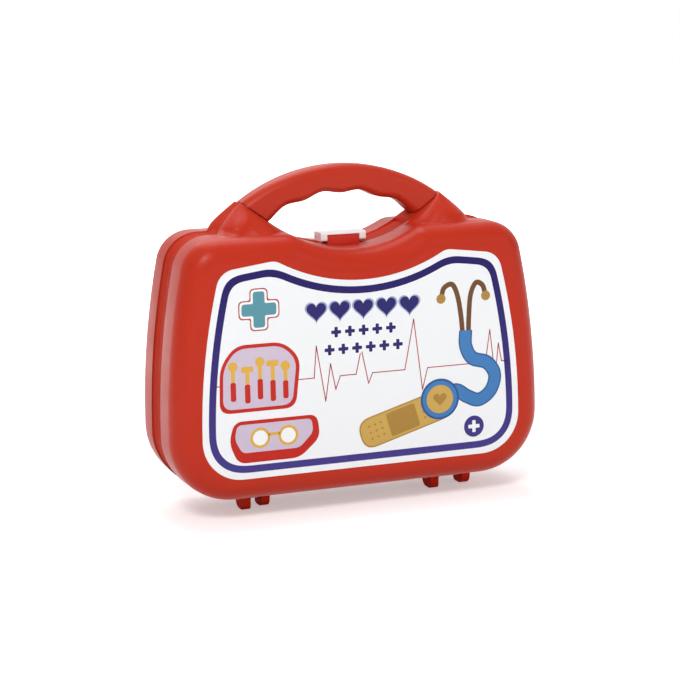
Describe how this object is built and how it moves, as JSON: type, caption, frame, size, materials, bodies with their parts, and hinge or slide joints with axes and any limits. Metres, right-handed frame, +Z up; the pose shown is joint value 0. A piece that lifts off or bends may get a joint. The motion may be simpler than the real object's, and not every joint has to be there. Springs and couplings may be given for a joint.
{
  "type": "toy doctor case",
  "caption": "Child's hinged carry case for play medical tools, with an arched finger-grip handle, a flip latch on top and formed trays inside.",
  "frame": {"origin": "middle of the footprint on the plane the hinge feet stand on, with the seam between the half shells at Y = 0", "axes": "+Z up towards the handle, +X to the right along the hinge line, -Y out of the labelled front"},
  "size_m": [0.2722, 0.09, 0.2377],
  "materials": {
    "case_red": "glossy moulded red plastic",
    "latch_white": "glossy moulded white plastic",
    "pin_steel": "drawn steel wire",
    "label_print": "printed film with a light gloss",
    "tray_lilac": "thin formed lilac-grey sheet",
    "toy_red": "glossy moulded red plastic",
    "toy_yellow": "glossy moulded yellow plastic",
    "toy_white": "glossy moulded white plastic",
    "box_white": "printed white card"
  },
  "bodies": {
    "rear_half": {"rear_shell": "case_red", "handle": "case_red", "hinge_pin_left": "pin_steel", "hinge_pin_right": "pin_steel", "latch_pin": "pin_steel", "rear_tray": "tray_lilac", "probe_handle": "toy_red", "probe_tip": "toy_yellow", "otoscope_handle": "toy_red", "otoscope_funnel": "toy_yellow", "tweezers": "toy_yellow", "hammer_handle": "toy_red", "hammer_head": "toy_yellow", "syringe_barrel": "toy_red", "plaster_box": "box_white", "pill_jar": "toy_white", "pill_jar_cap": "toy_red"},
    "front_half": {"front_shell": "case_red", "latch_catch": "case_red", "label": "label_print", "front_tray": "tray_lilac", "glasses_rim": "toy_yellow", "scissors_lower": "toy_red", "scissors_rivet": "toy_yellow"},
    "latch": {"latch": "latch_white"},
    "plunger": {"syringe_plunger": "toy_yellow"},
    "scissors_upper": {"scissors_upper": "toy_red"}
  },
  "joints": [
    {"name": "case_hinge", "type": "hinge", "parent": "rear_half", "child": "front_half", "pos_m": [0, 0, 0.0071], "axis": [1, 0, 0], "range_deg": [0, 180]},
    {"name": "latch_hinge", "type": "hinge", "parent": "rear_half", "child": "latch", "pos_m": [0, 0.0025, 0.187], "axis": [1, 0, 0], "range_deg": [-110, 0]},
    {"name": "plunger_slide", "type": "slide", "parent": "rear_half", "child": "plunger", "axis": [0.0698, 0, 0.9976], "range_m": [0, 0.018]},
    {"name": "scissors_pivot", "type": "hinge", "parent": "front_half", "child": "scissors_upper", "pos_m": [-0.008, -0.0247, 0.14], "axis": [0, 1, 0], "range_deg": [0, 30]}
  ]
}
